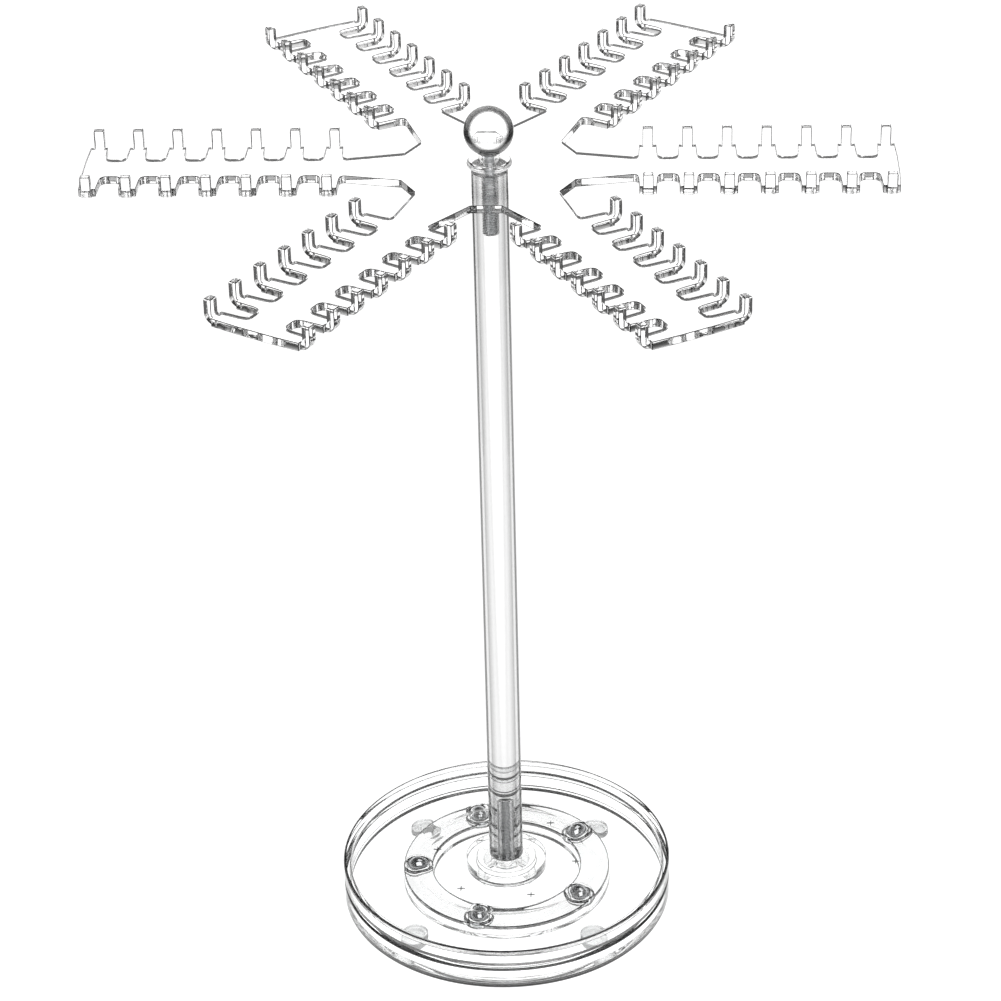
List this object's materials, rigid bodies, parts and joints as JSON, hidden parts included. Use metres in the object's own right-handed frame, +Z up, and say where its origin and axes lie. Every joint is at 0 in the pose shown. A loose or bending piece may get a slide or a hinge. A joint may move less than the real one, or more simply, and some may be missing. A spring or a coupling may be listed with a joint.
{
  "type": "necklace display tree",
  "caption": "Clear acrylic jewellery stand: a star of hooked arms on a slim pole with a ball finial, turning on a round ball-bearing base.",
  "frame": {"origin": "on the table, under the middle of the round base", "axes": "+Z up along the pole, which is the axis that the tree turns about; +X along one arm of the star"},
  "size_m": [0.3064, 0.2846, 0.3615],
  "materials": {
    "clear_acrylic": "polished clear",
    "bearing_steel": "polished",
    "zinc_steel": "zinc plated, threaded",
    "grey_rubber": "translucent grey"
  },
  "bodies": {
    "base": {"base_dish": "clear_acrylic", "foot_1": "grey_rubber", "foot_2": "grey_rubber", "foot_3": "grey_rubber", "foot_4": "grey_rubber"},
    "turntable": {"turntable_top": "clear_acrylic", "pole": "clear_acrylic", "hook_star": "clear_acrylic", "finial_knob": "clear_acrylic", "finial_stud": "zinc_steel", "pivot_screw": "zinc_steel", "pivot_washer": "clear_acrylic", "pivot_bush": "clear_acrylic"},
    "cage": {"ball_cage": "clear_acrylic"},
    "ball_1": {"bearing_ball_1": "bearing_steel"},
    "ball_2": {"bearing_ball_2": "bearing_steel"},
    "ball_3": {"bearing_ball_3": "bearing_steel"},
    "ball_4": {"bearing_ball_4": "bearing_steel"},
    "ball_5": {"bearing_ball_5": "bearing_steel"}
  },
  "joints": [
    {"name": "turntable_spin", "type": "hinge", "parent": "base", "child": "turntable", "pos_m": [0, 0, 0.0116], "axis": [0, 0, 1], "continuous": true},
    {"name": "cage_spin", "type": "hinge", "parent": "base", "child": "cage", "pos_m": [0, 0, 0.0116], "axis": [0, 0, 1], "continuous": true},
    {"name": "ball_1_roll", "type": "hinge", "parent": "cage", "child": "ball_1", "pos_m": [0.02939, 0.02296, 0.0116], "axis": [0.788, 0.6157, 0], "continuous": true},
    {"name": "ball_2_roll", "type": "hinge", "parent": "cage", "child": "ball_2", "pos_m": [-0.01276, 0.03505, 0.0116], "axis": [-0.342, 0.9397, 0], "continuous": true},
    {"name": "ball_3_roll", "type": "hinge", "parent": "cage", "child": "ball_3", "pos_m": [-0.03728, -0.0013, 0.0116], "axis": [-0.9994, -0.0349, 0], "continuous": true},
    {"name": "ball_4_roll", "type": "hinge", "parent": "cage", "child": "ball_4", "pos_m": [-0.01028, -0.03585, 0.0116], "axis": [-0.2756, -0.9613, 0], "continuous": true},
    {"name": "ball_5_roll", "type": "hinge", "parent": "cage", "child": "ball_5", "pos_m": [0.03092, -0.02086, 0.0116], "axis": [0.829, -0.5592, 0], "continuous": true}
  ],
  "couplings": [
    {"joint": "cage_spin", "follows": "turntable_spin", "ratio": 0.5},
    {"joint": "ball_1_roll", "follows": "turntable_spin", "ratio": -4.6625},
    {"joint": "ball_2_roll", "follows": "turntable_spin", "ratio": -4.6625},
    {"joint": "ball_3_roll", "follows": "turntable_spin", "ratio": -4.6625},
    {"joint": "ball_4_roll", "follows": "turntable_spin", "ratio": -4.6625},
    {"joint": "ball_5_roll", "follows": "turntable_spin", "ratio": -4.6625}
  ]
}
